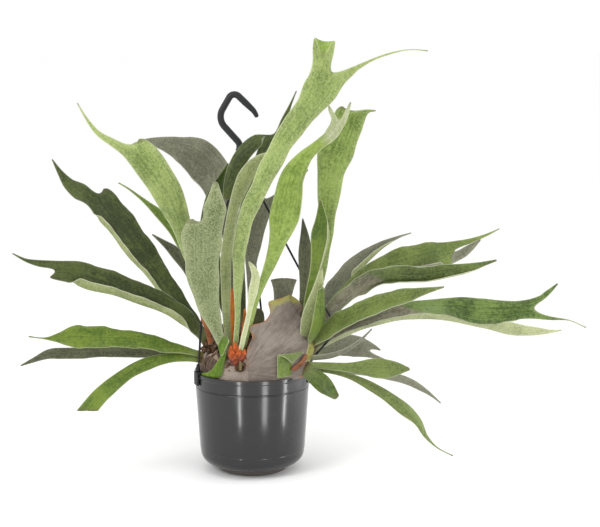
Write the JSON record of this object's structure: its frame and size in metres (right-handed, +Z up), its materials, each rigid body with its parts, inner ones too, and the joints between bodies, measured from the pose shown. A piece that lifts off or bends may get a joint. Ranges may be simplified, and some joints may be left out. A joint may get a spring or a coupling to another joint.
{
  "type": "staghorn fern in a hanging pot",
  "caption": "Staghorn fern with forked antler fronds and papery shield fronds, in a dark round hanging pot with a drip saucer, a slack strap hanger and a hook.",
  "frame": {"origin": "middle of the drip saucer's flat underside, on the surface the pot stands on", "axes": "+Z up, -Y towards the plant's front, +X to the right as seen from the front"},
  "size_m": [0.7658, 0.3439, 0.5955],
  "materials": {
    "dark_plastic": "moulded, satin gloss",
    "strap_plastic": "moulded, matt",
    "peat": "loose, damp",
    "old_shield": "dry, layered, brown",
    "bud_scales": "scaly, orange-brown",
    "antler_green": "leathery, with fine silvery hairs",
    "papery_shield": "papery, ribbed by fanned veins",
    "green_shield": "young, soft, yellow-green"
  },
  "bodies": {
    "root": {"crown_back": "bud_scales", "crown_back_right": "bud_scales", "crown_front": "bud_scales", "crown_left": "bud_scales", "crown_left_back": "bud_scales", "crown_low_right": "bud_scales", "crown_right": "bud_scales", "drip_saucer": "dark_plastic", "frond_arching": "antler_green", "frond_back_mid": "antler_green", "frond_back_round": "antler_green", "frond_back_upright": "antler_green", "frond_broad": "antler_green", "frond_crooked": "antler_green", "frond_folded": "antler_green", "frond_inner": "antler_green", "frond_left_bright": "antler_green", "frond_left_dark": "antler_green", "frond_left_droop": "antler_green", "frond_left_long": "antler_green", "frond_left_low": "antler_green", "frond_left_low_grey": "antler_green", "frond_left_short": "antler_green", "frond_left_thin": "antler_green", "frond_low_back": "antler_green", "frond_low_droop": "antler_green", "frond_low_green": "antler_green", "frond_low_grey": "antler_green", "frond_low_short": "antler_green", "frond_low_thin": "antler_green", "frond_right_face": "antler_green", "frond_right_front": "antler_green", "frond_right_grey": "antler_green", "frond_right_long": "antler_green", "frond_right_short": "antler_green", "frond_right_tall": "antler_green", "frond_right_twist": "antler_green", "frond_right_under": "antler_green", "frond_right_wide": "antler_green", "frond_small": "antler_green", "frond_spike": "antler_green", "frond_tall": "antler_green", "frond_upper_left": "antler_green", "hanger_hook": "dark_plastic", "hanger_strap_back": "strap_plastic", "hanger_strap_left": "strap_plastic", "hanger_strap_right": "strap_plastic", "pot": "dark_plastic", "potting_mix": "peat", "rim_clip_back": "strap_plastic", "rim_clip_left": "strap_plastic", "rim_clip_right": "strap_plastic", "shield_green": "green_shield", "shield_mound": "old_shield", "shield_old_front": "old_shield", "shield_papery": "papery_shield", "shield_young": "green_shield"}
  },
  "joints": []
}
